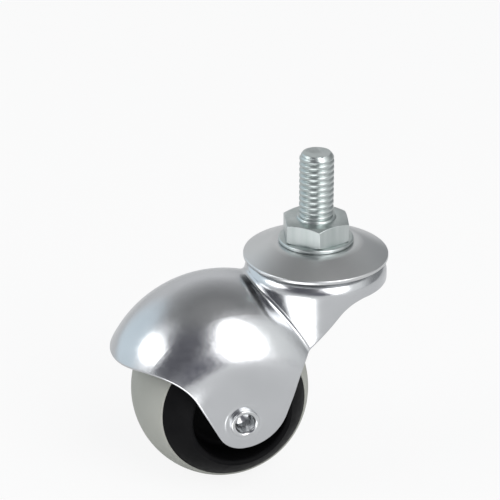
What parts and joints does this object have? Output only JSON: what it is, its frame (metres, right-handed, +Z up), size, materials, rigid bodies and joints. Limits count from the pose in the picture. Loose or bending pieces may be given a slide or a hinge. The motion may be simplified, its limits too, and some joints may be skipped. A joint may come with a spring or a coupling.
{
  "type": "furniture caster",
  "caption": "Swivel caster with a threaded stem, a ball raceway, a domed sheet hood and a nearly round wheel with a soft tread.",
  "frame": {"origin": "on the swivel axis, where the thread meets the root fillet of the collar", "axes": "+Z up along the threaded stem, -X towards the wheel that trails behind the swivel, Y along the wheel's axle"},
  "size_m": [0.0658, 0.0394, 0.0765],
  "materials": {
    "stem_zinc": "bright zinc plating, slightly cool",
    "sheet_zinc": "satin zinc plating",
    "hood_zinc": "bright zinc plating over drawn sheet, faint grain",
    "rivet_steel": "bright zinc plating",
    "ball_steel": "polished bearing steel",
    "core_black": "black moulded plastic, low sheen",
    "tread_grey": "warm grey soft tread, matte"
  },
  "bodies": {
    "stem": {"threaded_stem": "stem_zinc", "stem_washer": "stem_zinc", "cover_disc": "sheet_zinc", "lower_race": "sheet_zinc"},
    "fork": {"swivel_housing": "hood_zinc", "axle_rivet": "rivet_steel", "axle_sleeve": "rivet_steel"},
    "upper_ball_row": {"upper_ball_01": "ball_steel", "upper_ball_02": "ball_steel", "upper_ball_03": "ball_steel", "upper_ball_04": "ball_steel", "upper_ball_05": "ball_steel", "upper_ball_06": "ball_steel", "upper_ball_07": "ball_steel", "upper_ball_08": "ball_steel", "upper_ball_09": "ball_steel", "upper_ball_10": "ball_steel", "upper_ball_11": "ball_steel", "upper_ball_12": "ball_steel", "upper_ball_13": "ball_steel", "upper_ball_14": "ball_steel", "upper_ball_15": "ball_steel", "upper_ball_16": "ball_steel"},
    "lower_ball_row": {"lower_ball_01": "ball_steel", "lower_ball_02": "ball_steel", "lower_ball_03": "ball_steel", "lower_ball_04": "ball_steel", "lower_ball_05": "ball_steel", "lower_ball_06": "ball_steel", "lower_ball_07": "ball_steel", "lower_ball_08": "ball_steel", "lower_ball_09": "ball_steel", "lower_ball_10": "ball_steel", "lower_ball_11": "ball_steel", "lower_ball_12": "ball_steel", "lower_ball_13": "ball_steel"},
    "wheel": {"wheel_core": "core_black", "wheel_tread": "tread_grey"}
  },
  "joints": [
    {"name": "swivel", "type": "hinge", "parent": "stem", "child": "fork", "pos_m": [0, 0, 0], "axis": [0, 0, 1], "continuous": true},
    {"name": "upper_balls_roll", "type": "hinge", "parent": "stem", "child": "upper_ball_row", "pos_m": [0, 0, 0], "axis": [0, 0, 1], "continuous": true},
    {"name": "lower_balls_roll", "type": "hinge", "parent": "stem", "child": "lower_ball_row", "pos_m": [0, 0, 0], "axis": [0, 0, 1], "continuous": true},
    {"name": "wheel_spin", "type": "hinge", "parent": "fork", "child": "wheel", "pos_m": [-0.0234, 0, -0.04055], "axis": [0, 1, 0], "continuous": true}
  ],
  "couplings": [
    {"joint": "upper_balls_roll", "follows": "swivel", "ratio": 0.5},
    {"joint": "lower_balls_roll", "follows": "swivel", "ratio": 0.5}
  ]
}
